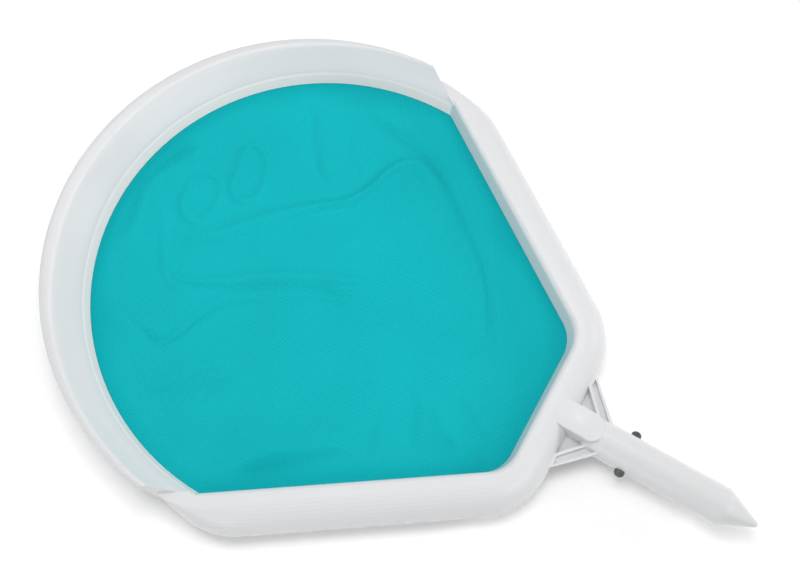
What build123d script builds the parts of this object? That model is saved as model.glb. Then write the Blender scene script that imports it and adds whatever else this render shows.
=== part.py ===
from build123d import *
import os
from math import sin, cos, tan, radians, degrees, sqrt, atan2

os.makedirs("parts", exist_ok=True)

# ---------------------------------------------------------------------------
# Leaf skimmer head. Millimetres, +Z up. +X runs along the handle axis towards
# the tip of the spigot, +Y across the net. The net lies in one level plane.
# The origin is under the middle of the whole head, on the face it rests on.
# ---------------------------------------------------------------------------

# placing of the working centre (middle of the round front of the net)
HEAD_X = -71.93         # x of the net's round centre
NET_Z = 17.0            # height of the net plane above the resting face

# net opening
R_NET = 182.0           # radius of the round front of the opening
X_REAR = 181.6          # rear straight edge of the opening
D_SIDE = 151.8          # distance of the slanting side edges from the centre
A_SIDE = 55.1           # direction of the side edges' normal, degrees from +X
R_REAR = 27.3           # rear corner radius of the opening
R_NOTCH = 2.0           # small radius where the round front meets the sides

# frame band
W_BAND = 31.3           # width of the band beside the slanting edges
W_REAR = 29.3           # width of the band at the rear
NOTCH_C = (12.7, 143.9) # centre of the outer shoulder arc
NOTCH_DIR = 99.6        # where the shoulder arc runs out, degrees
FRONT_C = -7.2          # centre of the band's round front (x)
FRONT_R = 197.3         # radius of the band's round front
H_BAND = 17.6           # band height above the net plane
H_LOWER = 17.0          # depth of the lower half below the net plane
WALL = 2.4              # shell thickness
DRAFT = 1.5             # how far the inner wall leans out by its top edge
NET_GAP = 0.3           # half of the clamping gap that holds the net

# scoop lip on the round front
LIP_END = 153.2         # distance of the lip's end plane at LIP_END_Z
LIP_END_Z = 12.0
LIP_LEAN = 0.33         # lean of the end plane per mm of height

# neck, spigot, buttons
SPIG_R = 14.2           # spigot radius
SPIG_BORE = 11.4        # its bore radius
ROOT_R = 9.8            # stepped root held in the neck
ROOT_BORE = 8.0
SPIG_A = 4.97           # rise of the spigot axis, degrees
SPIG_P = (254.8, 2.5)   # a point on the axis: x from the centre, z over the net
S_SEAM = -17.5          # along the axis from SPIG_P: neck face / spigot shoulder
S_ROOT = -57.0          # inner end of the root
S_CONE = 75.8           # end of the plain cylinder
S_TIP = 102.0           # point of the rounded nose
S_STEP = 6.5            # end of the slightly thicker base
SPIG_BASE_R = 14.4      # radius of that base
SEAT_R = 14.45          # radius of the collar on the frame that the base meets
S_BUTTON = 1.5          # button axis
COLLAR_S = (-52.0, -49.0)   # locating collar on the root
COLLAR_R = 10.9
NECK_HALF = 10.5        # half width of the neck's top
NECK_END = 221.0        # centre of the neck's rounded end
NECK_TOP = 17.6         # top of the neck over the net plane
NECK_TAPER = 4.0        # lean of its sides, degrees
BTN_R = 3.75            # button radius
BTN_HOLE = 3.83         # its hole in the spigot
BTN_TIP = 19.0          # how far the button's end stands from the axis
BTN_FLANGE_R = 4.7
BTN_TRAVEL = 5.0

# braces beside the neck: outer and inner edges, from the rear band to the neck
BR_OUT = ((205.5, 43.8), (236.5, 12.3))
BR_IN = ((202.5, 35.0), (223.5, 12.2))
BR_TOP = 8.0
BR_LOW = -9.0
BR_WALL = 2.0

# screws (self-tapping, driven from below)
SCREW_R = 1.10
SCREW_HOLE = 1.15
SCREW_CLEAR = 1.35
HEAD_R = 2.0
HEAD_H = 1.5
BOSS_UP = 3.0
BOSS_LOW = 3.4
SEAT_Z = -8.0           # underside of the heads, from the net plane
SCREW_TIP = 8.0

N = (cos(radians(A_SIDE)), sin(radians(A_SIDE)))
M = (-N[1], N[0])


def level(z):
    """Sketch plane through the net's round centre at height z over the net."""
    return Plane(origin=(HEAD_X, 0, NET_Z + z))


def arc_mid(c, a0, a1, r):
    a = radians((a0 + a1) / 2)
    return (c[0] + r * cos(a), c[1] + r * sin(a))


def inner_points(d, nr=None):
    """Opening outline moved outwards by d: points of its upper half."""
    nr = R_NOTCH if nr is None else nr
    fr = R_NET + d
    dist = D_SIDE + d
    xr = X_REAR + d
    rr = R_REAR + d
    # rear corner
    cx = xr - rr
    cy = (dist - rr - cx * N[0]) / N[1]
    # notch corner, inside both the circle and the side line
    k = dist - nr
    h = sqrt((fr - nr) ** 2 - k ** 2)
    px, py = k * N[0] + h * M[0], k * N[1] + h * M[1]
    an = degrees(atan2(py, px))
    return dict(xr=xr, rc=(cx, cy), rr=rr, nc=(px, py), nr=nr, fr=fr, an=an)


def draw_inner(d, nr=None):
    q = inner_points(d, nr)
    for s in (1, -1):
        def P(p):
            return (p[0], s * p[1])
        a = (q["xr"], q["rc"][1])
        b = (q["rc"][0] + q["rr"] * N[0], q["rc"][1] + q["rr"] * N[1])
        c = (q["nc"][0] + q["nr"] * N[0], q["nc"][1] + q["nr"] * N[1])
        t = radians(q["an"])
        e = (q["fr"] * cos(t), q["fr"] * sin(t))
        Line((q["xr"], 0), P(a))
        ThreePointArc(P(a), P(arc_mid(q["rc"], 0, A_SIDE, q["rr"])), P(b))
        Line(P(b), P(c))
        ThreePointArc(P(c), P(arc_mid(q["nc"], A_SIDE, q["an"], q["nr"])), P(e))
        ThreePointArc(P(e), P(arc_mid((0, 0), q["an"], 180, q["fr"])), (-q["fr"], 0))


# share of the inward offset from the slanting edge round to the lip's end:
# the wall stands steep in front and leans over along the rails
TURN_UP = (1.0, 0.97, 0.85, 0.6, 0.35, 0.1, 0.05)
TURN_LOW = (1.0, 0.95, 0.8, 0.6, 0.4, 0.25, 0.2)


def turn_points(dl, turn, wall):
    """Points of the shoulder from the slanting edge to the round front."""
    nr = D_SIDE + W_BAND - (NOTCH_C[0] * N[0] + NOTCH_C[1] * N[1])
    off = [w * dl + (1 - w) * wall for w in turn]
    pts = []
    for a, o in zip((A_SIDE, 66.0, 77.0, 88.0, NOTCH_DIR), off):
        pts.append(arc_mid(NOTCH_C, a, a, nr - o))
    t = radians(NOTCH_DIR)
    g = (NOTCH_C[0] + nr * cos(t), NOTCH_C[1] + nr * sin(t))
    u = (-sin(t), cos(t))
    # where the run-out line meets the round front
    w = (g[0] - FRONT_C, g[1])
    b = w[0] * u[0] + w[1] * u[1]
    c = w[0] ** 2 + w[1] ** 2 - FRONT_R ** 2
    s1 = -b - sqrt(b * b - c)
    e = (g[0] + s1 * u[0], g[1] + s1 * u[1])
    ae = degrees(atan2(e[1], e[0] - FRONT_C))
    t = radians((NOTCH_DIR + ae) / 2)
    pts.append((g[0] + 0.57 * s1 * u[0] - off[5] * cos(t), g[1] + 0.57 * s1 * u[1] - off[5] * sin(t)))
    fr = FRONT_R - off[6]
    pts.append(arc_mid((FRONT_C, 0), ae, ae, fr))
    return pts, ae, fr


def draw_outer(dl, turn=TURN_UP, wall=0.0):
    """Band outline moved inwards by dl; the narrow front moves by less."""
    dist = D_SIDE + W_BAND - dl
    xr = X_REAR + W_REAR - dl * W_REAR / W_BAND
    rr = R_REAR + W_BAND - dl
    cx = xr - rr
    cy = (dist - rr - cx * N[0]) / N[1]
    pts, ae, fr = turn_points(dl, turn, wall)
    t = radians(ae)
    for s in (1, -1):
        def P(p):
            return (p[0], s * p[1])
        a = (xr, cy)
        b1 = (cx + rr * N[0], cy + rr * N[1])
        Line((xr, 0), P(a))
        ThreePointArc(P(a), P(arc_mid((cx, cy), 0, A_SIDE, rr)), P(b1))
        Line(P(b1), P(pts[0]))
        Spline(*[P(p) for p in pts], tangents=[P(M), P((-sin(t), cos(t)))])
        ThreePointArc(P(pts[-1]), P(arc_mid((FRONT_C, 0), ae, 180, fr)), (FRONT_C - fr, 0))


# plane whose z axis is the spigot axis, y axis across the head
AXIS_O = (HEAD_X + SPIG_P[0], 0, NET_Z + SPIG_P[1])
AX = (cos(radians(SPIG_A)), 0, sin(radians(SPIG_A)))


def along(s):
    """Plane square to the spigot axis, s along it; local x is across (+Y)."""
    o = (AXIS_O[0] + s * AX[0], 0, AXIS_O[2] + s * AX[2])
    return Plane(origin=o, x_dir=(0, 1, 0), z_dir=AX)


# screw positions, from the net's round centre
def side_pt(t, d):
    return (N[0] * (D_SIDE + d) + M[0] * t, N[1] * (D_SIDE + d) + M[1] * t)


BAND_SCREWS = []
for p in (side_pt(72, 16), side_pt(14, 16), side_pt(-50, 16), (X_REAR + 15.0, 52.0)):
    BAND_SCREWS += [(p[0], p[1]), (p[0], -p[1])]
R_FRONT_SCREW = 191.9
FRONT_SCREWS = [(-R_FRONT_SCREW, 0.0)]
for a in (104.0, 128.0, 154.0):
    t = radians(a)
    FRONT_SCREWS += [(R_FRONT_SCREW * cos(t), R_FRONT_SCREW * sin(t)),
                     (R_FRONT_SCREW * cos(t), -R_FRONT_SCREW * sin(t))]
SCREWS = BAND_SCREWS + FRONT_SCREWS
NECK_SCREWS = [(X_REAR + 17.0, 24.0), (X_REAR + 17.0, -24.0)]

# band section: quarter ellipses, as (height over the net, inward offset)


def quarter(height, inset, start, steps, n=2.0):
    out = []
    for k in range(steps + 1):
        a = radians(90.0 * k / steps)
        co = max(cos(a), 0.0) ** (2 / n)
        out.append((height * sin(a) ** (2 / n), start + inset * (1 - co)))
    return out


SKIN = quarter(H_BAND, 21.0, 0.0, 11, 1.7)
CORE = [(-1.0, WALL)] + quarter(H_BAND - WALL, 18.4, WALL, 5, 1.7)[1:]
SKIN_LOW = quarter(-H_LOWER, 12.0, 0.0, 9)
CORE_LOW = [(1.0, WALL)] + quarter(-H_LOWER + WALL, 9.6, WALL, 4)[1:]

# ---------------------------------------------------------------------------
# upper frame half
# ---------------------------------------------------------------------------

# skin of the band, open in the middle
with BuildPart() as band_skin:
    for z, dl in SKIN:
        with BuildSketch(level(z)):
            with BuildLine():
                draw_outer(dl)
            make_face()
    loft(ruled=True)

# the opening: a leaning wall that rolls over into the band's top
ROLL_Z = 13.2
ROLL_R = 4.68
with BuildPart() as opening_cut:
    for z, d in ((-1.0, -0.08), (ROLL_Z, 1.2)):
        with BuildSketch(level(z)):
            with BuildLine():
                draw_inner(d)
            make_face()
    loft(ruled=True)
with BuildPart() as opening_roll:
    for a in (0.0, 20.0, 40.0, 60.0, 80.0):
        z = ROLL_Z + ROLL_R * sin(radians(a))
        d = 1.2 + ROLL_R * (1 - cos(radians(a)))
        with BuildSketch(level(z)):
            with BuildLine():
                draw_inner(d)
            make_face()
    loft()

with BuildPart() as opening:
    add(opening_cut.part)
    add(opening_roll.part)

with BuildPart() as band:
    add(band_skin.part)
    add(opening.part, mode=Mode.SUBTRACT)

# lip: circles given by height, reach at the very front, reach at the sides
LIP_OUT = [(0.0, 204.9, 197.4), (12.0, 208.6, 197.9), (25.0, 212.1, 198.6), (27.3, 212.6, 198.8),
           (28.6, 211.9, 198.4), (29.5, 210.2, 197.9), (30.2, 207.2, 197.3), (30.6, 203.7, 196.7),
           (30.8, 200.8, 195.6)]
LIP_CUT = [(9.5, 183.78, 183.78), (11.5, 184.32, 184.28), (13.6, 185.6, 185.38), (17.5, 189.1, 188.1),
           (22.0, 193.3, 191.4), (26.3, 197.2, 194.0), (28.6, 199.5, 195.3), (29.8, 201.2, 195.9),
           (30.3, 202.4, 196.4), (30.6, 203.8, 197.0), (31.0, 206.7, 198.0)]


def draw_ring(front, side):
    with Locations((side - front, 0)):
        Circle(side)


def slope_circle(z, grow=0.0):
    """Circle of the lip's inner slope at height z, moved outwards by grow."""
    k = (z - 13.6) / (28.6 - 13.6)
    return (-4.2 * k, 185.2 + 10.1 * k + grow)


with BuildPart() as lip_outside:
    for z, a, b in LIP_OUT[:3]:
        with BuildSketch(level(z)):
            draw_ring(a, b)
    loft(ruled=True)
with BuildPart() as lip_top:
    for z, a, b in LIP_OUT[2:]:
        with BuildSketch(level(z)):
            draw_ring(a, b)
    loft()
with BuildPart() as bowl:
    for z, a, b in LIP_CUT:
        with BuildSketch(level(z)):
            draw_ring(a, b)
    loft()
with BuildPart() as bowl_foot:
    with BuildSketch(level(-1.0)):
        draw_ring(R_NET - 0.08, R_NET - 0.08)
    with BuildSketch(level(LIP_CUT[0][0])):
        draw_ring(LIP_CUT[0][1], LIP_CUT[0][2])
    loft(ruled=True)

with BuildPart() as lip_soft:
    add(lip_outside.part)
    add(lip_top.part)
    add(bowl.part, mode=Mode.SUBTRACT)
    add(bowl_foot.part, mode=Mode.SUBTRACT)


def wedge_outline(d):
    """The two side lines at distance d, from 30 mm behind the centre to beyond the front."""
    y0 = (d - 30.0 * N[0]) / N[1]
    t = 420.0
    p = (d * N[0] + t * M[0], d * N[1] + t * M[1])
    return [(30.0, y0), p, (p[0], -p[1]), (30.0, -y0)]


def end_wedge(shift, z0, z1):
    """Room in front of the two leaning end planes of the lip."""
    return [(z, wedge_outline(LIP_END - shift - (z - LIP_END_Z) * LIP_LEAN)) for z in (z0, z1)]


with BuildPart() as wedge:
    for z, tri in end_wedge(0.0, -2.0, 34.0):
        with BuildSketch(level(z)):
            with BuildLine():
                Polyline(*tri, close=True)
            make_face()
    loft(ruled=True)
with BuildPart() as wedge_core:
    for z, tri in end_wedge(2.4, -2.0, 34.0):
        with BuildSketch(level(z)):
            with BuildLine():
                Polyline(*tri, close=True)
            make_face()
    loft(ruled=True)

with BuildPart() as lip:
    add(lip_soft.part)
    add(wedge.part, mode=Mode.INTERSECT)

# room inside the band and the lip
with BuildPart() as band_core:
    for z, dl in CORE:
        with BuildSketch(level(z)):
            with BuildLine():
                draw_outer(dl, TURN_UP, WALL)
            make_face()
    loft(ruled=True)
    with BuildSketch(level(-1.5)):
        with BuildLine():
            draw_inner(DRAFT + WALL)
        make_face()
    extrude(amount=20.0, mode=Mode.SUBTRACT)

# the band's room stays clear of the wall under the lip's slope
with BuildPart() as slope_wall:
    for z in (10.0, 13.0, 28.0):
        c, r = slope_circle(z + 3.0, 0.4)
        if z == 10.0:
            c, r = 0.0, 185.4
        with BuildSketch(level(z)):
            draw_ring(r - c, r)
    loft(ruled=True)
with BuildPart() as slope_keep:
    add(slope_wall.part)
    add(wedge.part, mode=Mode.INTERSECT)
with BuildPart() as band_room:
    add(band_core.part)
    add(slope_keep.part, mode=Mode.SUBTRACT)

with BuildPart() as lip_core:
    for z, front, side in ((-1.0, 202.4, 194.9), (25.0, 209.3, 196.1), (27.4, 208.7, 195.5)):
        with BuildSketch(level(z)):
            draw_ring(front, side)
    loft(ruled=True)
FOOT_R = R_NET + DRAFT + WALL + 0.1
with BuildPart() as lip_core_in:
    with BuildSketch(level(-2.0)):
        draw_ring(FOOT_R, FOOT_R)
    with BuildSketch(level(11.0)):
        draw_ring(FOOT_R, FOOT_R)
    loft(ruled=True)
with BuildPart() as lip_core_slope:
    for z in (11.0, 28.0):
        c, r = slope_circle(z + 3.0, 0.4)
        with BuildSketch(level(z)):
            draw_ring(r - c, r)
    loft(ruled=True)
with BuildPart() as lip_room:
    add(lip_core.part)
    add(lip_core_in.part, mode=Mode.SUBTRACT)
    add(lip_core_slope.part, mode=Mode.SUBTRACT)
    add(wedge_core.part, mode=Mode.INTERSECT)

# neck block, collar and braces of the upper half
# the neck's top: a shallow saddle behind the rail, then a low dome
NECK_LINE = [(190.0, 17.5), (195.0, 17.35), (199.0, 17.1), (203.0, 17.0), (207.0, 17.1), (211.0, 17.4),
             (214.0, 17.6), (217.0, 17.7), (220.0, 17.6), (223.0, 17.3), (226.0, 16.8), (229.0, 16.1),
             (232.0, 15.2)]
with BuildPart() as neck_crown:
    for x, z in NECK_LINE:
        with BuildSketch(Plane(origin=(HEAD_X + x, 0, NET_Z), x_dir=(0, 1, 0), z_dir=(1, 0, 0))):
            with BuildLine():
                ThreePointArc((-15.0, z - 2.25), (0.0, z), (15.0, z - 2.25))
                Polyline((15.0, z - 2.25), (15.0, -2.0), (-15.0, -2.0), (-15.0, z - 2.25))
            make_face()
    loft(ruled=True)
with BuildPart() as neck_top:
    with BuildSketch(level(NECK_TOP + 0.5)):
        with Locations((NECK_END, 0)):
            Circle(NECK_HALF)
        with Locations(((NECK_END + X_REAR + 9.9) / 2, 0)):
            Rectangle(NECK_END - X_REAR - 9.9, 2 * NECK_HALF)
    extrude(amount=-NECK_TOP - 0.5, taper=-NECK_TAPER)
    add(neck_crown.part, mode=Mode.INTERSECT)
    # soften the rim of the top, short of the rail
    crown_f = [f for f in neck_top.faces() if f.normal_at(f.center()).Z > 0.8]
    side_e = [e.center() for f in neck_top.faces() if abs(f.normal_at(f.center()).Z) < 0.3 for e in f.edges()]
    rim_e = [e for f in crown_f for e in f.edges()
             if e.center().X > HEAD_X + X_REAR + 10.5 and any((e.center() - c).length < 1e-4 for c in side_e)]
    fillet(rim_e, radius=1.2)


with BuildPart() as above:
    with BuildSketch(level(0)):
        Rectangle(900, 600)
    extrude(amount=60)
with BuildPart() as below:
    with BuildSketch(level(0)):
        Rectangle(900, 600)
    extrude(amount=-60)

with BuildPart() as collar:
    with BuildSketch(along(S_SEAM - 15.5)):
        Circle(SEAT_R)
    extrude(amount=15.5)

with BuildPart() as collar_up:
    add(collar.part)
    add(above.part, mode=Mode.INTERSECT)
with BuildPart() as collar_low:
    add(collar.part)
    add(below.part, mode=Mode.INTERSECT)
# the band's inner corner gives way to the lip's slope at the round front
# but leaves the rails' inner walls whole
with BuildPart() as front_wedge:
    for z, d in ((-2.0, 151.5), (12.8, 152.9), (34.0, LIP_END - (34.0 - LIP_END_Z) * LIP_LEAN)):
        with BuildSketch(level(z)):
            with BuildLine():
                Polyline(*wedge_outline(d), close=True)
            make_face()
    loft(ruled=True)
with BuildPart() as front_cut:
    add(bowl.part)
    add(bowl_foot.part)
    add(front_wedge.part, mode=Mode.INTERSECT)

with BuildPart() as root_room:
    with BuildSketch(along(S_ROOT - 2.0)):
        Circle(ROOT_R + 0.1)
    extrude(amount=S_SEAM - S_ROOT + 4.0)
    with BuildSketch(along(COLLAR_S[0])):
        Circle(COLLAR_R + 0.15)
    extrude(amount=COLLAR_S[1] - COLLAR_S[0])


def brace_pts(s):
    return [(BR_OUT[0][0], s * BR_OUT[0][1]), (BR_OUT[1][0], s * BR_OUT[1][1]),
            (BR_OUT[1][0] - 3.0, s * 9.0), (BR_IN[1][0], s * 9.0),
            (BR_IN[1][0], s * BR_IN[1][1]), (BR_IN[0][0], s * BR_IN[0][1])]


def pocket_pts(s):
    """Web that closes the pocket between a brace and the neck."""
    return [(BR_IN[0][0], s * 9.0), (BR_IN[1][0], s * 9.0),
            (BR_IN[1][0], s * (BR_IN[1][1] + 0.5)), (BR_IN[0][0], s * (BR_IN[0][1] + 0.5))]


def brace_floor(s):
    """Recess between the brace's two walls."""
    (x0, y0), (x1, y1) = BR_OUT
    (a0, b0), (a1, b1) = BR_IN
    L = sqrt((x1 - x0) ** 2 + (y1 - y0) ** 2)
    o = ((y1 - y0) / L, -(x1 - x0) / L)     # towards the inner edge
    K = sqrt((a1 - a0) ** 2 + (b1 - b0) ** 2)
    i = (-(b1 - b0) / K, (a1 - a0) / K)     # towards the outer edge
    w = BR_WALL
    return [(x0 + o[0] * w + 6.5, s * (y0 + o[1] * w - 5.8)), (x1 + o[0] * w - 1.5, s * (y1 + o[1] * w + 1.3)),
            (a1 + i[0] * w + 1.0, s * (b1 + i[1] * w - 1.0)), (a0 + i[0] * w + 6.0, s * (b0 + i[1] * w - 6.0))]


with BuildPart() as braces_up:
    for s in (1, -1):
        with BuildSketch(level(0)):
            with BuildLine():
                Polyline(*brace_pts(s), close=True)
            make_face()
        extrude(amount=BR_TOP)
    for s in (1, -1):
        with BuildSketch(level(5.0)):
            with BuildLine():
                Polyline(*brace_floor(s), close=True)
            make_face()
        extrude(amount=BR_TOP, mode=Mode.SUBTRACT)
    for s in (1, -1):
        with BuildSketch(level(0)):
            with BuildLine():
                Polyline(*pocket_pts(s), close=True)
            make_face()
        extrude(amount=2.4)

with BuildPart() as saddle_up:
    with BuildSketch(level(0.0)):
        with Locations((X_REAR + 17.0, 0)):
            Rectangle(20.0, 33.0)
    extrude(amount=15.6)
    add(band_skin.part, mode=Mode.INTERSECT)

with BuildPart() as frame_upper:
    add(band.part)
    add(front_cut.part, mode=Mode.SUBTRACT)
    add(lip.part)
    add(neck_top.part)
    add(collar_up.part)
    add(braces_up.part)
    add(band_room.part, mode=Mode.SUBTRACT)
    add(lip_room.part, mode=Mode.SUBTRACT)
    # bosses for the screws
    with BuildSketch(level(0.0)):
        with Locations(*BAND_SCREWS):
            Circle(BOSS_UP)
    extrude(amount=14.9)
    with BuildSketch(level(0.0)):
        with Locations(*NECK_SCREWS):
            Circle(BOSS_UP)
    extrude(amount=13.3)
    with BuildSketch(level(0.0)):
        with Locations(*FRONT_SCREWS):
            Circle(BOSS_UP)
    extrude(amount=17.0)
    # saddle that carries the spigot's root across the rear band
    add(saddle_up.part)
    add(root_room.part, mode=Mode.SUBTRACT)
    with BuildSketch(level(-0.5)):
        with Locations(*SCREWS):
            Circle(SCREW_HOLE)
        with Locations(*NECK_SCREWS):
            Circle(SCREW_HOLE)
    extrude(amount=10.5, mode=Mode.SUBTRACT)
    # clamping land over the net's edge
    with BuildSketch(level(-1.0)):
        with BuildLine():
            draw_inner(5.5)
        make_face()
    extrude(amount=1.0 + NET_GAP, mode=Mode.SUBTRACT)
frame_upper.part.label = "frame_upper"

# ---------------------------------------------------------------------------
# lower frame half
# ---------------------------------------------------------------------------
with BuildPart() as low_skin:
    for z, dl in SKIN_LOW:
        with BuildSketch(level(z)):
            with BuildLine():
                draw_outer(dl, TURN_LOW)
            make_face()
    loft(ruled=True)
with BuildPart() as low_cut:
    with BuildSketch(level(1.0)):
        with BuildLine():
            draw_inner(-0.08)
        make_face()
    with BuildSketch(level(-13.6)):
        with BuildLine():
            draw_inner(1.2)
        make_face()
    loft(ruled=True)
with BuildPart() as low_roll:
    for a in (0.0, 20.0, 40.0, 60.0, 80.0):
        z = -13.6 - 3.6 * sin(radians(a))
        d = 1.2 + 3.6 * (1 - cos(radians(a)))
        with BuildSketch(level(z)):
            with BuildLine():
                draw_inner(d)
            make_face()
    loft()
with BuildPart() as low_opening:
    add(low_cut.part)
    add(low_roll.part)
with BuildPart() as low_core:
    for z, dl in CORE_LOW:
        with BuildSketch(level(z)):
            with BuildLine():
                draw_outer(dl, TURN_LOW, WALL)
            make_face()
    loft(ruled=True)
    with BuildSketch(level(2.0)):
        with BuildLine():
            draw_inner(DRAFT + WALL)
        make_face()
    extrude(amount=-20.0, mode=Mode.SUBTRACT)

with BuildPart() as neck_low:
    with BuildSketch(level(-16.0)):
        with Locations((NECK_END, 0)):
            Circle(NECK_HALF)
        with Locations(((NECK_END + X_REAR + 8.0) / 2, 0)):
            Rectangle(NECK_END - X_REAR - 8.0, 2 * NECK_HALF)
    extrude(amount=16.0, taper=-NECK_TAPER)
    low_e = neck_low.faces().sort_by(Axis.Z)[0].edges().sort_by(Axis.X)[1:]
    fillet(low_e, radius=5.0)

with BuildPart() as braces_low:
    for s in (1, -1):
        with BuildSketch(level(BR_LOW)):
            with BuildLine():
                Polyline(*brace_pts(s), close=True)
            make_face()
        extrude(amount=-BR_LOW)
    for s in (1, -1):
        with BuildSketch(level(-2.0)):
            with BuildLine():
                Polyline(*brace_floor(s), close=True)
            make_face()
        extrude(amount=-12.0, mode=Mode.SUBTRACT)
    for s in (1, -1):
        with BuildSketch(level(-2.0)):
            with BuildLine():
                Polyline(*pocket_pts(s), close=True)
            make_face()
        extrude(amount=2.0)

with BuildPart() as saddle_low:
    with BuildSketch(level(0.0)):
        with Locations((X_REAR + 17.0, 0)):
            Rectangle(20.0, 33.0)
    extrude(amount=-15.6)
    add(low_skin.part, mode=Mode.INTERSECT)

with BuildPart() as frame_lower:
    add(low_skin.part)
    add(low_opening.part, mode=Mode.SUBTRACT)
    add(neck_low.part)
    add(collar_low.part)
    add(braces_low.part)
    add(low_core.part, mode=Mode.SUBTRACT)
    with BuildSketch(level(0.0)):
        with Locations(*SCREWS):
            Circle(BOSS_LOW)
        with Locations(*NECK_SCREWS):
            Circle(BOSS_LOW)
    extrude(amount=-15.4)
    add(saddle_low.part)
    add(root_room.part, mode=Mode.SUBTRACT)
    with BuildSketch(level(1.0)):
        with Locations(*SCREWS):
            Circle(SCREW_CLEAR)
        with Locations(*NECK_SCREWS):
            Circle(SCREW_CLEAR)
    extrude(amount=-20.0, mode=Mode.SUBTRACT)
    with BuildSketch(level(SEAT_Z)):
        with Locations(*SCREWS):
            Circle(HEAD_R + 0.3)
        with Locations(*NECK_SCREWS):
            Circle(HEAD_R + 0.3)
    extrude(amount=-12.0, mode=Mode.SUBTRACT)
    with BuildSketch(level(1.0)):
        with BuildLine():
            draw_inner(5.5)
        make_face()
    extrude(amount=-1.0 - NET_GAP, mode=Mode.SUBTRACT)
frame_lower.part.label = "frame_lower"

# ---------------------------------------------------------------------------
# net and the binding sewn round its edge
# ---------------------------------------------------------------------------
with BuildPart() as net_mesh:
    with BuildSketch(level(-NET_GAP)):
        with BuildLine():
            draw_inner(5.6)
        make_face()
    extrude(amount=2 * NET_GAP)
net_mesh.part.label = "net_mesh"

with BuildPart() as net_binding:
    with BuildSketch(level(-1.1)):
        with BuildLine():
            draw_inner(6.2)
        make_face()
        with BuildLine():
            draw_inner(4.0)
        make_face(mode=Mode.SUBTRACT)
    extrude(amount=2.2)
    add(net_mesh.part, mode=Mode.SUBTRACT)
net_binding.part.label = "net_binding"

# ---------------------------------------------------------------------------
# spigot: hollow, closed conical nose, stepped root with a locating collar
# ---------------------------------------------------------------------------
with BuildPart() as spigot:
    with BuildSketch(Plane(origin=AXIS_O, x_dir=AX, z_dir=(0, -1, 0))):
        with BuildLine():
            Polyline((S_ROOT, ROOT_BORE), (S_ROOT, ROOT_R), (COLLAR_S[0], ROOT_R),
                     (COLLAR_S[0], COLLAR_R), (COLLAR_S[1], COLLAR_R), (COLLAR_S[1], ROOT_R),
                     (S_SEAM, ROOT_R), (S_SEAM, SPIG_BASE_R), (S_STEP, SPIG_BASE_R),
                     (S_STEP, SPIG_R), (S_CONE, SPIG_R), (S_TIP - 1.378, 2.198))
            ThreePointArc((S_TIP - 1.378, 2.198), (S_TIP - 0.477, 1.45), (S_TIP - 0.052, 0.5))
            Polyline((S_TIP - 0.052, 0.5), (S_TIP - 0.052, 0.0), (S_TIP - 9.0, 0.0),
                     (S_TIP - 9.0, 1.2), (S_CONE - 3.0, SPIG_BORE),
                     (S_SEAM + 3.0, SPIG_BORE), (S_SEAM + 0.5, ROOT_BORE), (S_ROOT, ROOT_BORE))
        make_face()
    revolve(axis=Axis(AXIS_O, AX))
    shoulder = [e for e in spigot.edges().filter_by(GeomType.CIRCLE)
                if abs(e.radius - SPIG_R) < 0.01 and e.arc_center.X > HEAD_X + 300]
    fillet(shoulder, radius=9.0)
    # holes for the two buttons, straight across the axis
    with BuildSketch(Plane(origin=(AXIS_O[0] + S_BUTTON * AX[0], 0, AXIS_O[2] + S_BUTTON * AX[2]),
                           x_dir=AX, z_dir=(0, -1, 0))):
        Circle(BTN_HOLE)
    extrude(amount=30.0, both=True, mode=Mode.SUBTRACT)
spigot.part.label = "spigot"

# ---------------------------------------------------------------------------
# spring buttons
# ---------------------------------------------------------------------------
BTN_X = AXIS_O[0] + S_BUTTON * AX[0]
BTN_Z = AXIS_O[2] + S_BUTTON * AX[2]


DOME_H = 2.4            # height of the button's domed end
DOME_R = (BTN_R ** 2 + DOME_H ** 2) / (2 * DOME_H)
DOME_A = atan2(BTN_R, DOME_R - DOME_H) / 2


def button_profile():
    Polyline((0, 8.4), (2.0, 8.4), (2.0, 9.2), (BTN_FLANGE_R, 9.2), (BTN_FLANGE_R, 10.1),
             (BTN_R, 10.1), (BTN_R, BTN_TIP - DOME_H))
    ThreePointArc((BTN_R, BTN_TIP - DOME_H),
                  (DOME_R * sin(DOME_A), BTN_TIP - DOME_R + DOME_R * cos(DOME_A)), (0, BTN_TIP))
    Line((0, BTN_TIP), (0, 8.4))


with BuildPart() as button_left:
    with BuildSketch(Plane(origin=(BTN_X, 0, BTN_Z), x_dir=AX,
                           z_dir=(-AX[2], 0, AX[0]))):
        with BuildLine():
            button_profile()
        make_face()
    revolve(axis=Axis((BTN_X, 0, BTN_Z), (0, 1, 0)))
button_left.part.label = "button_left"

with BuildPart() as button_right:
    add(button_left.part)
    mirror(about=Plane.XZ, mode=Mode.REPLACE)
button_right.part.label = "button_right"

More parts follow.
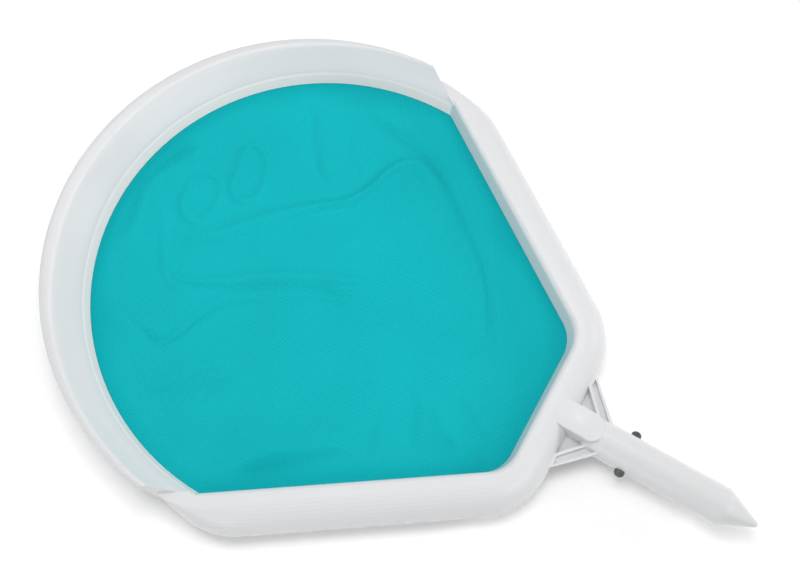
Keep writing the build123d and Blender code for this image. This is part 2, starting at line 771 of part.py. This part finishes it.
# spring strip bent to a V, its legs carry the buttons from inside
SPR_T = 0.7
SPR_H = 8.0
with BuildPart() as spring_clip:
    with BuildSketch(Plane(origin=AXIS_O, x_dir=AX, z_dir=(-AX[2], 0, AX[0]))):
        with BuildLine():
            Polyline((10.5, 9.2), (-4.5, 9.2), (-32.0, 3.4))
            ThreePointArc((-32.0, 3.4), (-35.6, 0.0), (-32.0, -3.4))
            Polyline((-32.0, -3.4), (-4.5, -9.2), (10.5, -9.2))
            Line((10.5, -9.2), (10.5, -9.2 + SPR_T))
            Polyline((10.5, -9.2 + SPR_T), (-4.4, -9.2 + SPR_T), (-31.8, -3.4 + SPR_T))
            ThreePointArc((-31.8, -3.4 + SPR_T), (-34.8, 0.0), (-31.8, 3.4 - SPR_T))
            Polyline((-31.8, 3.4 - SPR_T), (-4.4, 9.2 - SPR_T), (10.5, 9.2 - SPR_T))
            Line((10.5, 9.2 - SPR_T), (10.5, 9.2))
        make_face()
    extrude(amount=SPR_H / 2, both=True)
    with BuildSketch(Plane(origin=(BTN_X, 0, BTN_Z), x_dir=AX, z_dir=(0, -1, 0))):
        Circle(2.1)
    extrude(amount=20.0, both=True, mode=Mode.SUBTRACT)
spring_clip.part.label = "spring_clip"

# ---------------------------------------------------------------------------
# screws
# ---------------------------------------------------------------------------


def draw_recess():
    Rectangle(2.4, 0.6)
    Rectangle(0.6, 2.4)


with BuildPart() as rim_screws:
    with BuildSketch(level(SEAT_Z)):
        with Locations(*SCREWS):
            Circle(SCREW_R)
    extrude(amount=SCREW_TIP - SEAT_Z)
    with BuildSketch(level(SEAT_Z)):
        with Locations(*SCREWS):
            Circle(HEAD_R)
    extrude(amount=-HEAD_H)
    with BuildSketch(level(SEAT_Z - HEAD_H)):
        with Locations(*SCREWS):
            draw_recess()
    extrude(amount=0.9, mode=Mode.SUBTRACT)
rim_screws.part.label = "rim_screws"

with BuildPart() as neck_screws:
    with BuildSketch(level(SEAT_Z)):
        with Locations(*NECK_SCREWS):
            Circle(SCREW_R)
    extrude(amount=SCREW_TIP - SEAT_Z)
    with BuildSketch(level(SEAT_Z)):
        with Locations(*NECK_SCREWS):
            Circle(HEAD_R)
    extrude(amount=-HEAD_H)
    with BuildSketch(level(SEAT_Z - HEAD_H)):
        with Locations(*NECK_SCREWS):
            draw_recess()
    extrude(amount=0.9, mode=Mode.SUBTRACT)
neck_screws.part.label = "neck_screws"

for piece in (frame_upper, frame_lower, net_mesh, net_binding, spigot,
              button_left, button_right, spring_clip, rim_screws, neck_screws):
    b = piece.part.bounding_box()
    print(piece.part.label, len(piece.part.solids()), round(piece.part.volume, 1),
          [round(v, 2) for v in (b.min.X, b.max.X, b.min.Y, b.max.Y, b.min.Z, b.max.Z)])

export_step(frame_upper.part, "parts/frame_upper.step")
export_step(frame_lower.part, "parts/frame_lower.step")
export_step(net_mesh.part, "parts/net_mesh.step")
export_step(net_binding.part, "parts/net_binding.step")
export_step(spigot.part, "parts/spigot.step")
export_step(button_left.part, "parts/button_left.step")
export_step(button_right.part, "parts/button_right.step")
export_step(spring_clip.part, "parts/spring_clip.step")
export_step(rim_screws.part, "parts/rim_screws.step")
export_step(neck_screws.part, "parts/neck_screws.step")
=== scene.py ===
from math import sin, cos, radians, degrees, sqrt, atan2, pi

import bpy
import bmesh
import numpy as np
from mathutils import Matrix, Vector


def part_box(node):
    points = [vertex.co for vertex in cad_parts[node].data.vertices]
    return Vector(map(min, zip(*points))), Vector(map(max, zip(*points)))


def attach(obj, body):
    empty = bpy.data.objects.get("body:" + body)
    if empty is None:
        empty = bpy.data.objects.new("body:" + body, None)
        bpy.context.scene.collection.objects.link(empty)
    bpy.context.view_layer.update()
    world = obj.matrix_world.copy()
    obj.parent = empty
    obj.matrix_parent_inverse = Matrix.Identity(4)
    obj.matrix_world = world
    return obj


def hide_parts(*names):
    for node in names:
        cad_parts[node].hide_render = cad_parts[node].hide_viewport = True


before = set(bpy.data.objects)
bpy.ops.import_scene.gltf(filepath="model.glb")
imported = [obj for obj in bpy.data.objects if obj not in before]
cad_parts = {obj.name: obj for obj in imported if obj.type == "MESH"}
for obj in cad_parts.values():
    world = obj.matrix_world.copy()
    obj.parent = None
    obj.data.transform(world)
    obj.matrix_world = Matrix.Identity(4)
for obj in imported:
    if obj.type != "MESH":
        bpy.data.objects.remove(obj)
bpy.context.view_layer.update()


# the net's round centre in the shared frame, from the net's own box
n_lo, n_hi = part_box("net_mesh")
HEAD_X = n_hi.x - 0.1872
NET_Z = (n_lo.z + n_hi.z) / 2

# ---------------------------------------------------------------------------
# camera
# ---------------------------------------------------------------------------
cam_data = bpy.data.cameras.new("camera")
cam_data.lens = 34.119
cam_data.sensor_width = 36.0
cam_data.sensor_fit = "HORIZONTAL"
cam_data.clip_start = 0.01
cam_data.clip_end = 20.0
cam = bpy.data.objects.new("camera", cam_data)
bpy.context.scene.collection.objects.link(cam)
right = Vector((0.86030701, 0.504188, 0.07527484))
up = -Vector((0.49842116, -0.80093049, -0.33179314))
back = -Vector((-0.1069962, 0.32296254, -0.94034409))
rot = Matrix((right, up, back)).transposed().to_4x4()
cam.matrix_world = Matrix.Translation((0.111584 + HEAD_X, -0.169523, 0.556615 + NET_Z)) @ rot
bpy.context.scene.camera = cam
bpy.context.scene.view_settings.view_transform = "Standard"

# ---------------------------------------------------------------------------
# helpers for materials
# ---------------------------------------------------------------------------


class Nodes:
    """Short names for building one material's node tree."""

    def __init__(self, name):
        self.mat = bpy.data.materials.new(name)
        self.mat.use_nodes = True
        self.t = self.mat.node_tree
        self.t.nodes.clear()
        self.out = self.t.nodes.new("ShaderNodeOutputMaterial")
        self.bsdf = self.t.nodes.new("ShaderNodeBsdfPrincipled")
        self.t.links.new(self.bsdf.outputs[0], self.out.inputs["Surface"])
        tc = self.t.nodes.new("ShaderNodeTexCoord")
        self.co = tc.outputs["Object"]

    def feed(self, value, socket):
        if isinstance(value, bpy.types.NodeSocket):
            self.t.links.new(value, socket)
        else:
            socket.default_value = value

    def math(self, op, a, b=0.0, c=0.0, clamp=False):
        n = self.t.nodes.new("ShaderNodeMath")
        n.operation = op
        n.use_clamp = clamp
        for i, v in enumerate((a, b, c)):
            self.feed(v, n.inputs[i])
        return n.outputs[0]

    def split(self, v=None):
        n = self.t.nodes.new("ShaderNodeSeparateXYZ")
        self.feed(v or self.co, n.inputs[0])
        return n.outputs

    def join(self, x, y, z):
        n = self.t.nodes.new("ShaderNodeCombineXYZ")
        for i, v in enumerate((x, y, z)):
            self.feed(v, n.inputs[i])
        return n.outputs[0]

    def stretch(self, scale, turn=0.0):
        n = self.t.nodes.new("ShaderNodeMapping")
        n.inputs["Scale"].default_value = scale
        n.inputs["Rotation"].default_value = (0, 0, turn)
        self.feed(self.co, n.inputs["Vector"])
        return n.outputs[0]

    def noise(self, scale, detail=3.0, rough=0.5, vector=None, distortion=0.0):
        n = self.t.nodes.new("ShaderNodeTexNoise")
        n.inputs["Scale"].default_value = scale
        n.inputs["Detail"].default_value = detail
        n.inputs["Roughness"].default_value = rough
        n.inputs["Distortion"].default_value = distortion
        self.feed(vector or self.co, n.inputs["Vector"])
        return n.outputs["Fac"]

    def ramp(self, value, a, b, lo=0.0, hi=1.0):
        n = self.t.nodes.new("ShaderNodeMapRange")
        n.interpolation_type = "SMOOTHSTEP"
        for i, v in enumerate((value, a, b, lo, hi)):
            self.feed(v, n.inputs[i])
        return n.outputs[0]

    def line(self, value, a, b, lo=0.0, hi=1.0):
        n = self.t.nodes.new("ShaderNodeMapRange")
        for i, v in enumerate((value, a, b, lo, hi)):
            self.feed(v, n.inputs[i])
        return n.outputs[0]

    def mix(self, fac, a, b):
        n = self.t.nodes.new("ShaderNodeMix")
        n.data_type = "RGBA"
        self.feed(fac, n.inputs["Factor"])
        self.feed(a, n.inputs[6])
        self.feed(b, n.inputs[7])
        return n.outputs[2]

    def bump(self, height, distance, strength=1.0, normal=None):
        n = self.t.nodes.new("ShaderNodeBump")
        n.inputs["Strength"].default_value = strength
        n.inputs["Distance"].default_value = distance
        self.feed(height, n.inputs["Height"])
        if normal is not None:
            self.feed(normal, n.inputs["Normal"])
        return n.outputs[0]

    def set(self, **kw):
        for k, v in kw.items():
            self.feed(v, self.bsdf.inputs[k.replace("_", " ")])
        return self


def rgb(r, g, b):
    """An sRGB colour, 0 to 255, as linear RGBA."""
    def lin(c):
        c = c / 255
        return c / 12.92 if c <= 0.04045 else ((c + 0.055) / 1.055) ** 2.4
    return (lin(r), lin(g), lin(b), 1.0)


def plastic(name, light, dark, grain, seed, painted_wall_light=None):
    """Injection-moulded polypropylene: slight flow marks, satin skin, soft orange peel."""
    m = Nodes(name)
    flow = m.noise(9.0 + seed, 3.0, 0.5, m.stretch((1.0, 1.6, 2.0), 0.4 * seed))
    cloud = m.noise(38.0 + seed, 3.0, 0.5)
    speck = m.noise(900.0, 2.0, 0.6)
    tone = m.math("ADD", m.math("MULTIPLY", flow, 0.65), m.math("MULTIPLY", cloud, 0.35))
    base = m.mix(m.line(tone, 0.25, 0.75), dark, light)
    dust = m.ramp(speck, 0.60, 0.85, 0.0, 0.01)
    base = m.mix(dust, base, rgb(186, 187, 186))
    if painted_wall_light:
        # painted light: walls that face the middle of the opening get a brighter, warmer base colour that
        # stands in for light on them; the plastic there is the same as elsewhere
        g = m.t.nodes.new("ShaderNodeNewGeometry")
        nx, ny, nz = m.split(g.outputs["Normal"])
        x, y, z = m.split(g.outputs["Position"])
        xc = m.math("SUBTRACT", x, HEAD_X)
        far = m.math("SQRT", m.math("ADD", m.math("MULTIPLY", xc, xc), m.math("MULTIPLY", y, y)))
        facing = m.math("ADD", m.math("MULTIPLY", nx, xc), m.math("MULTIPLY", ny, y))
        facing = m.math("DIVIDE", facing, far)
        face = m.ramp(facing, -0.86, -0.955)
        near = m.math("MULTIPLY", m.ramp(far, 0.1885, 0.1865), m.ramp(xc, 0.006, 0.002))
        base = m.mix(m.math("MULTIPLY", face, near), base, painted_wall_light)
    peel = m.noise(420.0, 2.0, 0.5)
    fine = m.noise(2400.0, 2.0, 0.5)
    scuff = m.noise(60.0, 5.0, 0.6, m.stretch((1.0, 9.0, 5.0), 0.7))
    rough = m.math("ADD", m.line(cloud, 0.2, 0.8, 0.262, 0.272), m.ramp(scuff, 0.40, 1.00, 0.0, 0.01))
    b = m.bump(peel, 0.00002, grain)
    b = m.bump(fine, 0.000006, 0.4, b)
    m.set(Base_Color=base, Roughness=rough, Normal=b)
    m.set(Specular_IOR_Level=0.42, Subsurface_Weight=0.12, Subsurface_Scale=0.004,
          Coat_Weight=0.12, Coat_Roughness=0.13, IOR=1.49)
    m.bsdf.inputs["Subsurface Radius"].default_value = (1.0, 0.9, 0.8)
    return m.mat


# the last colour, on the upper frame only, is painted light for the inner walls
frame_plastic_up = plastic("frame_plastic_upper", rgb(211, 212, 214), rgb(210, 211, 213), 0.25, 0.0,
                           rgb(252, 235, 233))
frame_plastic_low = plastic("frame_plastic_lower", rgb(210, 211, 213), rgb(209, 210, 212), 0.25, 1.0)
spigot_plastic = plastic("spigot_plastic", rgb(210, 211, 212), rgb(208, 209, 210), 0.25, 2.0)


def net_fabric():
    """Fine warp-knitted net: ribs 1.75 mm apart, staggered small holes between them."""
    m = Nodes("net_fabric")
    x, y, z = m.split()
    # rows of holes between the ribs
    wob = m.noise(70.0, 2.0, 0.5)
    xs = m.math("ADD", m.math("DIVIDE", x, 0.00175), m.line(wob, 0.3, 0.7, -0.10, 0.10))
    row = m.math("FLOOR", xs)
    fx = m.math("SUBTRACT", m.math("FRACT", xs), 0.5)
    stagger = m.math("MULTIPLY", m.math("FRACT", m.math("MULTIPLY", row, 0.5)), 1.0)
    ys = m.math("ADD", m.math("DIVIDE", y, 0.0019), stagger)
    fy = m.math("SUBTRACT", m.math("FRACT", ys), 0.5)
    ex = m.math("POWER", m.math("DIVIDE", m.math("ABSOLUTE", fx), 0.25), 2.0)
    ey = m.math("POWER", m.math("DIVIDE", m.math("ABSOLUTE", fy), 0.30), 2.0)
    rr = m.math("ADD", ex, ey)
    hole = m.ramp(rr, 1.15, 0.75)
    rib = m.math("MULTIPLY", m.math("COSINE", m.math("MULTIPLY", m.math("ADD", fx, 0.5), 2 * pi)), 0.5)
    loops = m.math("MULTIPLY", m.math("COSINE", m.math("MULTIPLY", fy, 4 * pi)), 0.5)
    fibre = m.noise(2600.0, 3.0, 0.6, m.stretch((1.0, 0.35, 1.0)))
    cloud = m.noise(14.0, 3.0, 0.5)
    tone = m.math("ADD", m.line(rib, -0.5, 0.5, 0.15, 0.75), m.line(fibre, 0.3, 0.7, -0.12, 0.12))
    tone = m.math("ADD", tone, m.line(cloud, 0.3, 0.7, -0.10, 0.10), clamp=True)
    base = m.mix(tone, rgb(14, 160, 169), rgb(22, 181, 188))
    # painted shade: the net is darker beside the clamp, where the frame's wall shades it
    rim = m.ramp(z, NET_Z - 0.0016, NET_Z - 0.0002)
    base = m.mix(m.math("MULTIPLY", rim, 0.28), base, rgb(0, 140, 147))
    height = m.math("ADD", m.math("ADD", m.math("MULTIPLY", rib, 0.5), m.math("MULTIPLY", loops, 0.18)),
                    m.math("MULTIPLY", fibre, 0.25))
    height = m.math("SUBTRACT", height, m.math("MULTIPLY", hole, 0.5))
    b = m.bump(height, 0.00022, 0.6)
    alpha = m.math("SUBTRACT", 1.0, m.math("MULTIPLY", hole, 0.10))
    m.set(Base_Color=base, Normal=b, Alpha=alpha, Roughness=m.line(fibre, 0.3, 0.7, 0.55, 0.75))
    m.set(Specular_IOR_Level=0.04, Sheen_Weight=0.0)
    return m.mat


def binding_tape():
    m = Nodes("binding_tape")
    x, y, z = m.split()
    ribs = m.math("SINE", m.math("MULTIPLY", m.math("ADD", x, y), 2 * pi / 0.0011))
    cross = m.math("SINE", m.math("MULTIPLY", m.math("SUBTRACT", x, y), 2 * pi / 0.0011))
    weave = m.math("MULTIPLY", ribs, cross)
    fibre = m.noise(3000.0, 3.0, 0.6)
    base = m.mix(m.line(weave, -1.0, 1.0), rgb(18, 150, 158), rgb(30, 178, 186))
    m.set(Base_Color=base, Normal=m.bump(m.math("ADD", weave, fibre), 0.0001, 0.6),
          Roughness=m.line(fibre, 0.3, 0.7, 0.7, 0.85))
    m.set(Specular_IOR_Level=0.25, Sheen_Weight=0.1)
    return m.mat


def dark_plastic():
    m = Nodes("button_plastic")
    n = m.noise(700.0, 3.0, 0.6)
    c = m.noise(160.0, 2.0, 0.5)
    base = m.mix(m.ramp(c, 0.35, 0.7), rgb(58, 62, 64), rgb(84, 88, 90))
    m.set(Base_Color=base, Roughness=m.line(n, 0.3, 0.7, 0.30, 0.48),
          Normal=m.bump(n, 0.00003, 0.5))
    m.set(Specular_IOR_Level=0.5, Coat_Weight=0.15, Coat_Roughness=0.25)
    return m.mat


def steel(name, tone, brushed):
    m = Nodes(name)
    grain = m.noise(900.0, 3.0, 0.6, m.stretch(brushed))
    spots = m.noise(260.0, 4.0, 0.6)
    base = m.mix(m.ramp(spots, 0.45, 0.75), rgb(*tone), rgb(tone[0] - 34, tone[1] - 34, tone[2] - 32))
    m.set(Base_Color=base, Roughness=m.line(grain, 0.3, 0.7, 0.22, 0.42),
          Normal=m.bump(grain, 0.00002, 0.4))
    m.set(Metallic=1.0)
    return m.mat


def assign(node, mat):
    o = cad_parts[node]
    o.data.materials.clear()
    o.data.materials.append(mat)


assign("frame_upper", frame_plastic_up)
assign("frame_lower", frame_plastic_low)
assign("spigot", spigot_plastic)
assign("net_binding", binding_tape())
btn = dark_plastic()
assign("button_left", btn)
assign("button_right", btn)
assign("spring_clip", steel("spring_steel", (176, 178, 180), (0.4, 1.0, 6.0)))
screw = steel("screw_steel", (170, 168, 162), (1.0, 1.0, 0.2))
assign("rim_screws", screw)
assign("neck_screws", screw)
net_mat = net_fabric()
assign("net_mesh", net_mat)

# ---------------------------------------------------------------------------
# outline of the net's opening, moved outwards by d (mm from the round centre)
# ---------------------------------------------------------------------------
N = (cos(radians(55.1)), sin(radians(55.1)))
M = (-N[1], N[0])


def outline(d, nr=2.0, step=2.0):
    """Closed outline as points, starting at the rear, anticlockwise."""
    fr, dist, xr, rr = 182 + d, 151.8 + d, 181.6 + d, 27.3 + d
    cx = xr - rr
    cy = (dist - rr - cx * N[0]) / N[1]
    k = dist - nr
    h = sqrt((fr - nr) ** 2 - k ** 2)
    px, py = k * N[0] + h * M[0], k * N[1] + h * M[1]
    an = degrees(atan2(py, px))
    pts = []

    def arc(c, r, a0, a1):
        n = max(2, int(radians(a1 - a0) * r / step))
        for i in range(n + 1):
            a = radians(a0 + (a1 - a0) * i / n)
            pts.append((c[0] + r * cos(a), c[1] + r * sin(a)))

    def line(p, q):
        n = max(2, int(sqrt((q[0] - p[0]) ** 2 + (q[1] - p[1]) ** 2) / step))
        for i in range(n + 1):
            pts.append((p[0] + (q[0] - p[0]) * i / n, p[1] + (q[1] - p[1]) * i / n))

    line((xr, 0.0), (xr, cy))
    arc((cx, cy), rr, 0.0, 55.1)
    line(pts[-1], (px + nr * N[0], py + nr * N[1]))
    arc((px, py), nr, 55.1, an)
    arc((0.0, 0.0), fr, an, 180.0)
    keep = [pts[0]]
    for p in pts[1:]:
        if (p[0] - keep[-1][0]) ** 2 + (p[1] - keep[-1][1]) ** 2 > 0.01:
            keep.append(p)
    low = [(x, -y) for x, y in keep[-2:0:-1]]
    return np.array(keep + low)


def to_line(pts, line, closed=True):
    """Distance from each point to a polyline, and the nearest place along it (0 to 1)."""
    a = line
    b = np.roll(line, -1, axis=0)
    if not closed:
        a, b = line[:-1], line[1:]
    best = np.full(len(pts), 1e9)
    near = np.zeros((len(pts), 2))
    where = np.zeros(len(pts))
    side = np.zeros(len(pts))
    seg = np.linalg.norm(b - a, axis=1)
    start = np.concatenate([[0], np.cumsum(seg)])
    for i in range(len(a)):
        v = b[i] - a[i]
        t = np.clip(((pts - a[i]) @ v) / (v @ v), 0, 1)
        q = a[i] + t[:, None] * v
        r = pts - q
        dd = np.hypot(r[:, 0], r[:, 1])
        m = dd < best
        best[m] = dd[m]
        near[m] = q[m]
        where[m] = (start[i] + t[m] * seg[i]) / start[-1]
        side[m] = np.sign(v[0] * r[m, 1] - v[1] * r[m, 0])
    return best, near, where, side


def inside(pts, line):
    """True for points inside a closed outline."""
    x, y = pts[:, 0], pts[:, 1]
    c = np.zeros(len(pts), bool)
    for (x0, y0), (x1, y1) in zip(line, np.roll(line, -1, axis=0)):
        if y0 != y1:
            hit = ((y0 > y) != (y1 > y)) & (x < (x1 - x0) * (y - y0) / (y1 - y0) + x0)
            c ^= hit
    return c


def smooth(points, n=60):
    """A Catmull-Rom line through given points."""
    p = np.array(points, float)
    p = np.vstack([2 * p[0] - p[1], p, 2 * p[-1] - p[-2]])
    out = []
    for i in range(1, len(p) - 2):
        for t in np.linspace(0, 1, max(3, n // (len(p) - 3)), endpoint=False):
            out.append(0.5 * ((2 * p[i]) + (p[i + 1] - p[i - 1]) * t
                              + (2 * p[i - 1] - 5 * p[i] + 4 * p[i + 1] - p[i + 2]) * t * t
                              + (3 * p[i] - p[i - 1] - 3 * p[i + 1] + p[i + 2]) * t ** 3))
    out.append(p[-2])
    return np.array(out)


# Folds in the slack net, listed in mm from the round centre:
# points, half width, height, how the two ends run out (share of the length)
FOLDS = [
    # long finger-shaped fold across the middle
    ([(-121.5, -40.1), (-117.5, -29.2), (-98.7, -11.3), (-82.3, 10.7), (-64.9, 32.1), (-45.7, 51.3),
      (-27.8, 68.3), (-18.4, 89.4), (-14.0, 108.7), (-6.6, 123.4), (6.7, 128.2), (24.1, 120.2), (41.9, 108.2)],
     6.5, 2.3, 0.12),
    ([(-121.5, -40.1), (-122.0, -48.0), (-114.0, -53.5), (-100.4, -57.3), (-76.0, -44.0), (-56.0, -28.2),
      (-35.2, -13.3), (-13.1, -0.1), (3.8, 7.1), (32.0, 22.0)], 5.0, 1.5, 0.15),
    # two small rings near the front
    ([(-142.9, 6.2), (-142.9, 19.7), (-134.6, 28.6), (-123.1, 26.0), (-115.7, 13.0), (-114.7, -2.0),
      (-120.1, -12.3), (-132.0, -11.2), (-139.9, -2.4), (-142.9, 6.2)], 3.4, 1.3, 0.02),
    ([(-120.5, 45.7), (-125.6, 62.6), (-119.3, 70.3), (-107.3, 67.0), (-96.8, 53.6), (-92.0, 36.9),
      (-95.7, 25.8), (-106.3, 22.6), (-115.3, 31.0), (-120.5, 45.7)], 3.4, 1.3, 0.02),
    # loop round the front end of the finger
    ([(-170.6, -4.5), (-150.7, -16.2), (-134.9, -33.5), (-122.6, -52.3), (-108.6, -63.0), (-91.6, -65.2),
      (-81.3, -66.8)], 4.5, 0.9, 0.2),
    # valley running from the front to the middle
    ([(-125.1, -104.8), (-107.3, -106.2), (-87.2, -108.9), (-79.3, -95.0), (-73.8, -73.1), (-62.4, -50.2),
      (-36.0, -30.6), (-5.7, -11.7), (11.8, -5.7), (40.0, 8.0)], 6.0, -1.6, 0.2),
    # folds coming in from the round front's +y part
    ([(-103.8, 132.2), (-92.6, 112.3), (-78.3, 95.0), (-62.0, 79.6), (-45.9, 71.8)], 5.5, -1.5, 0.25),
    ([(-60.0, 125.8), (-48.2, 114.5), (-33.7, 101.5), (-23.9, 93.1)], 5.0, 0.9, 0.3),
    ([(-68.3, 155.5), (-55.0, 144.5), (-31.7, 144.2), (-8.7, 143.8), (17.3, 138.0), (41.1, 123.8),
      (63.6, 105.9), (86.8, 85.9), (106.0, 64.3), (120.1, 40.6), (135.0, 10.0)], 5.5, -1.7, 0.15),
    # folds in the -y part
    ([(-77.8, -141.6), (-66.3, -133.2), (-54.4, -117.1), (-43.9, -102.7), (-35.5, -89.2)], 6.0, 1.2, 0.3),
    ([(-57.8, -166.3), (-52.0, -148.8), (-42.8, -133.3), (-32.9, -114.2), (-18.5, -96.7)], 6.0, -1.1, 0.3),
    ([(-7.8, -150.0), (3.7, -137.6), (16.6, -118.6), (31.9, -98.1), (39.1, -82.2)], 6.0, 1.1, 0.3),
    ([(90.8, -96.4), (91.7, -79.1), (91.3, -59.2), (88.2, -46.5)], 5.5, 0.8, 0.3),
    ([(92.0, -38.2), (101.7, -50.0), (109.5, -68.3), (120.1, -81.7)], 5.5, -0.9, 0.3),
    ([(114.0, -33.7), (123.7, -48.3), (140.6, -60.9), (149.5, -66.8)], 5.5, 0.9, 0.3),
    ([(125.7, -23.7), (137.3, -34.3), (150.8, -43.5), (167.0, -42.2)], 5.5, -0.9, 0.3),
    ([(12.3, -162.5), (42.0, -131.2), (71.0, -105.6), (90.8, -96.4)], 7.0, 1.2, 0.3),
    # soft swell beside the front clamp
    ([(-148.0, -74.8), (-158.3, -55.0), (-163.5, -31.2), (-172.1, -8.9), (-167.2, 17.4), (-157.4, 40.1),
      (-140.7, 58.4)], 6.0, 1.2, 0.25),
]


FOLD_GAIN = 1.6


def sag(pts):
    """Height of the net over its clamping plane, mm."""
    edge, _, _, _ = to_line(pts, outline(0.0))
    ins = inside(pts, outline(0.0))
    edge = np.where(ins, edge, 0.0)
    ease = np.clip(edge / 26.0, 0, 1)
    ease = ease * ease * (3 - 2 * ease)
    deep = np.clip(edge / 95.0, 0, 1)
    z = -5.5 * (1 - (1 - deep) ** 2.2)
    for pts_f, width, height, run in FOLDS:
        line = smooth(pts_f)
        dist, _, t, side = to_line(pts, line, closed=False)
        w = width * (0.8 + 0.35 * np.sin(t * 7.0 + len(pts_f)))
        k = np.clip(np.minimum(t, 1 - t) / max(run, 1e-3), 0, 1)
        k = k * k * (3 - 2 * k)
        prof = np.exp(-0.5 * (dist / (w * 0.75)) ** 2)
        z = z + FOLD_GAIN * height * prof * k * ease
    # broad slack between the folds
    x, y = pts[:, 0], pts[:, 1]
    z = z + ease * (0.9 * np.sin(x / 31.0 + 1.3 * np.sin(y / 47.0) + 0.6)
                    * np.sin(y / 27.0 + 0.9 * np.sin(x / 39.0))
                    + 0.35 * np.sin((x + 0.7 * y) / 11.5 + 1.5 * np.sin(y / 29.0)))
    return z


def net_sheet():
    """Grid clipped to the outline, its rim pulled onto the outline."""
    pitch = 1.9
    rim = outline(5.4)
    xs = np.arange(-190.0, 190.1, pitch)
    gx, gy = np.meshgrid(xs, xs, indexing="ij")
    pts = np.stack([gx.ravel(), gy.ravel()], 1)
    ins = inside(pts, rim)
    dist, near, _, _ = to_line(pts, rim)
    n = len(xs)
    use = (ins & (dist > 0.45 * pitch)).reshape(n, n)
    cells = []
    ids = np.arange(n * n).reshape(n, n)
    good = use[:-1, :-1] & use[1:, :-1] & use[1:, 1:] & use[:-1, 1:]
    q = np.stack([ids[:-1, :-1][good], ids[1:, :-1][good], ids[1:, 1:][good], ids[:-1, 1:][good]], 1)
    used = np.unique(q)
    remap = -np.ones(n * n, int)
    remap[used] = np.arange(len(used))
    co2 = pts[used]
    faces = remap[q]
    # rim vertices: those on edges used once
    e = np.concatenate([faces[:, [0, 1]], faces[:, [1, 2]], faces[:, [2, 3]], faces[:, [3, 0]]])
    es = np.sort(e, axis=1)
    _, inv, cnt = np.unique(es, axis=0, return_inverse=True, return_counts=True)
    inv = inv.ravel()
    border = e[cnt[inv] == 1]
    # a new ring of vertices on the outline, joined to the border by quads
    bv = np.unique(border)
    _, nb, _, _ = to_line(co2[bv], rim)
    ring_id = {int(v): len(co2) + i for i, v in enumerate(bv)}
    co = np.vstack([co2, nb])
    quads = [tuple(int(i) for i in f) for f in faces]
    for a, b in border:
        a, b = int(a), int(b)
        quads.append((b, a, ring_id[a], ring_id[b]))
    z = sag(co)
    ver = np.column_stack([co[:, 0] / 1000 + HEAD_X, co[:, 1] / 1000, z / 1000 + NET_Z])
    me = bpy.data.meshes.new("net_sheet")
    me.from_pydata([tuple(v) for v in ver], [], quads)
    me.validate()
    bm = bmesh.new()
    bm.from_mesh(me)
    bmesh.ops.remove_doubles(bm, verts=bm.verts, dist=0.00012)
    bmesh.ops.recalc_face_normals(bm, faces=bm.faces)
    up = sum(f.normal.z for f in bm.faces)
    if up < 0:
        bmesh.ops.reverse_faces(bm, faces=bm.faces)
    bm.to_mesh(me)
    bm.free()
    for p in me.polygons:
        p.use_smooth = True
    me.materials.append(net_mat)
    o = bpy.data.objects.new("net_sheet", me)
    bpy.context.scene.collection.objects.link(o)
    return o


net = net_sheet()
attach(net, "head")
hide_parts("net_mesh")
flat = outline(5.6)

# ---------------------------------------------------------------------------
# floor and light
# ---------------------------------------------------------------------------
me = bpy.data.meshes.new("floor")
s = 3.0
me.from_pydata([(-s, -s, 0), (s, -s, 0), (s, s, 0), (-s, s, 0)], [], [(0, 1, 2, 3)])
floor = bpy.data.objects.new("floor", me)
floor.location = (0, 0, -0.0004)
bpy.context.scene.collection.objects.link(floor)
fm = Nodes("floor_white")
grain = fm.noise(220.0, 3.0, 0.5)
fm.set(Base_Color=fm.mix(fm.line(grain, 0.3, 0.7), rgb(249, 249, 249), rgb(252, 252, 252)), Roughness=0.9)
fm.set(Specular_IOR_Level=0.1, Emission_Color=(1.0, 1.0, 1.0, 1.0), Emission_Strength=0.0)
me.materials.append(fm.mat)

world = bpy.data.worlds.new("studio")
bpy.context.scene.world = world
world.use_nodes = True
bg = world.node_tree.nodes["Background"]
bg.inputs[0].default_value = (1.0, 1.0, 1.0, 1.0)
bg.inputs[1].default_value = 0.42


def softbox(name, place, size, power, look=(0.0, 0.0, 0.02)):
    ld = bpy.data.lights.new(name, "AREA")
    ld.shape = "RECTANGLE"
    ld.size, ld.size_y = size
    ld.energy = power
    lo = bpy.data.objects.new(name, ld)
    bpy.context.scene.collection.objects.link(lo)
    lo.location = place
    d = Vector(look) - Vector(place)
    lo.rotation_euler = d.to_track_quat("-Z", "Y").to_euler()
    return lo


softbox("key", (0.07, 0.42, 1.15), (0.36, 0.36), 1.2)
softbox("crest", (-0.78, 0.0, 1.10), (0.30, 0.30), 0.8)
softbox("glint", (1.0, 0.86, 0.5), (0.35, 0.35), 0.7)
softbox("left", (-1.1, 0.2, 0.9), (0.8, 0.8), 2.8)
softbox("right", (1.2, -0.1, 0.9), (0.8, 0.8), 2.6)
softbox("low", (-0.10, -1.3, 0.45), (1.2, 0.6), 3.8)
for soft in (softbox("side", (1.0, 0.86, 0.5), (0.35, 0.35), 5.4),
             softbox("overhead", (-0.12, 0.0, 0.75), (0.30, 0.30), 2.4)):
    soft.visible_glossy = False
